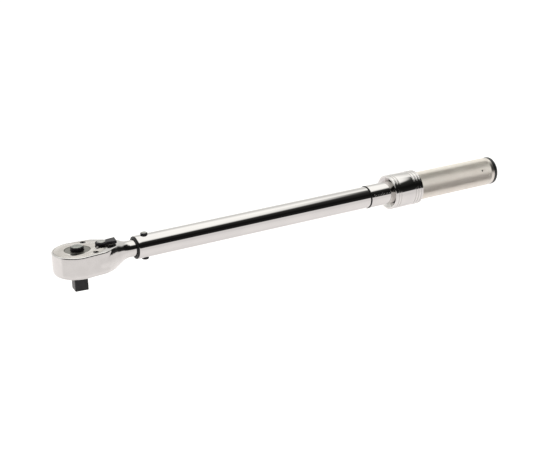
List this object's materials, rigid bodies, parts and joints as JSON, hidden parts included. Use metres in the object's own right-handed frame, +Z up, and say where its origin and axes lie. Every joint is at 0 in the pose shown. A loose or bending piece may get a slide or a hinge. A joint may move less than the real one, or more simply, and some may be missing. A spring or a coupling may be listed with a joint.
{
  "type": "torque wrench",
  "caption": "Click torque wrench with a reversible ratchet head, half-inch square drive, plated tube, turning knurled handle and sliding lock collar.",
  "frame": {"origin": "middle of the square drive's end face", "axes": "+Z up along the drive's axis, away from the socket; +X along the tube from the head to the handle"},
  "size_m": [0.5092, 0.0472, 0.0462],
  "materials": {
    "chrome": "polished plating",
    "satin_chrome": "satin plating",
    "knurl": "satin plating over a fine knurl",
    "black_oxide": "black oxide",
    "steel": "ground steel",
    "spring_steel": "drawn wire",
    "bronze": "turned bronze",
    "black_plastic": "moulded",
    "rubber": "moulded rubber"
  },
  "bodies": {
    "tube": {"tube": "chrome", "scale_sleeve": "chrome", "sleeve_ring": "rubber", "dust_seal": "rubber", "pivot_pin": "satin_chrome", "adjusting_nut": "bronze", "main_spring": "spring_steel"},
    "head": {"head_body": "satin_chrome", "cover_plate": "satin_chrome", "cover_screw_1": "black_oxide", "cover_screw_2": "black_oxide", "detent_ball": "steel", "detent_spring": "spring_steel"},
    "drive": {"drive_anvil": "black_oxide", "button_spring": "spring_steel"},
    "button": {"quick_release_button": "black_oxide", "button_cap": "steel", "release_rod": "steel"},
    "ball": {"retaining_ball": "steel"},
    "lever": {"reversing_lever": "black_oxide", "lever_cap": "steel"},
    "pawl": {"pawl": "steel"},
    "plunger": {"plunger": "steel"},
    "toggle": {"toggle_block": "steel"},
    "spring_seat": {"spring_seat": "steel", "thrust_washer": "bronze"},
    "handle": {"handle": "knurl", "adjusting_screw": "steel", "handle_plug": "steel", "roll_pin": "spring_steel", "end_nut": "steel", "end_cap": "black_plastic", "snap_ring": "spring_steel", "lock_spring": "spring_steel", "lock_ball_1": "steel", "lock_ball_2": "steel", "lock_ball_3": "steel"},
    "collar": {"lock_collar": "chrome"}
  },
  "joints": [
    {"name": "head_click", "type": "hinge", "parent": "tube", "child": "head", "pos_m": [0.0674, 0, 0.0282], "axis": [0, 0, 1], "range_deg": [-1.5, 1.5], "stiffness_Nm_per_rad": 60},
    {"name": "drive_spin", "type": "hinge", "parent": "head", "child": "drive", "pos_m": [0, 0, 0.0282], "axis": [0, 0, 1], "continuous": true},
    {"name": "release_press", "type": "slide", "parent": "drive", "child": "button", "axis": [0, 0, -1], "range_m": [0, 0.0025], "stiffness_N_per_m": 800, "deforming": ["button_spring"]},
    {"name": "ball_retract", "type": "slide", "parent": "drive", "child": "ball", "axis": [-0.1219, -0.9925, 0], "range_m": [0, 0.0008]},
    {"name": "reverse_turn", "type": "hinge", "parent": "head", "child": "lever", "pos_m": [0.024, 0, 0.0282], "axis": [0, 0, 1], "range_deg": [0, 24]},
    {"name": "pawl_rock", "type": "hinge", "parent": "head", "child": "pawl", "pos_m": [0.024, 0, 0.0282], "axis": [0, 0, 1], "range_deg": [0, 16]},
    {"name": "plunger_slide", "type": "slide", "parent": "tube", "child": "plunger", "axis": [1, 0, 0], "range_m": [0, 0.0005], "stiffness_N_per_m": 500},
    {"name": "toggle_tilt", "type": "hinge", "parent": "plunger", "child": "toggle", "pos_m": [0.1206, 0, 0.0282], "axis": [0, 0, 1], "range_deg": [-6.5, 6.5]},
    {"name": "spring_load", "type": "slide", "parent": "tube", "child": "spring_seat", "axis": [-1, 0, 0], "range_m": [0, 0.02], "deforming": ["main_spring"]},
    {"name": "handle_turn", "type": "hinge", "parent": "spring_seat", "child": "handle", "pos_m": [0.4, 0, 0.0282], "axis": [-1, 0, 0], "range_deg": [0, 3600]},
    {"name": "collar_pull", "type": "slide", "parent": "handle", "child": "collar", "axis": [1, 0, 0], "range_m": [0, 0.005], "stiffness_N_per_m": 600, "deforming": ["lock_spring"]}
  ],
  "couplings": [
    {"joint": "ball_retract", "follows": "release_press", "ratio": 0.32},
    {"joint": "pawl_rock", "follows": "reverse_turn", "ratio": 0.6667},
    {"joint": "toggle_tilt", "follows": "head_click", "ratio": -4.32},
    {"joint": "spring_load", "follows": "handle_turn", "m_per_rad": 0.000318}
  ]
}
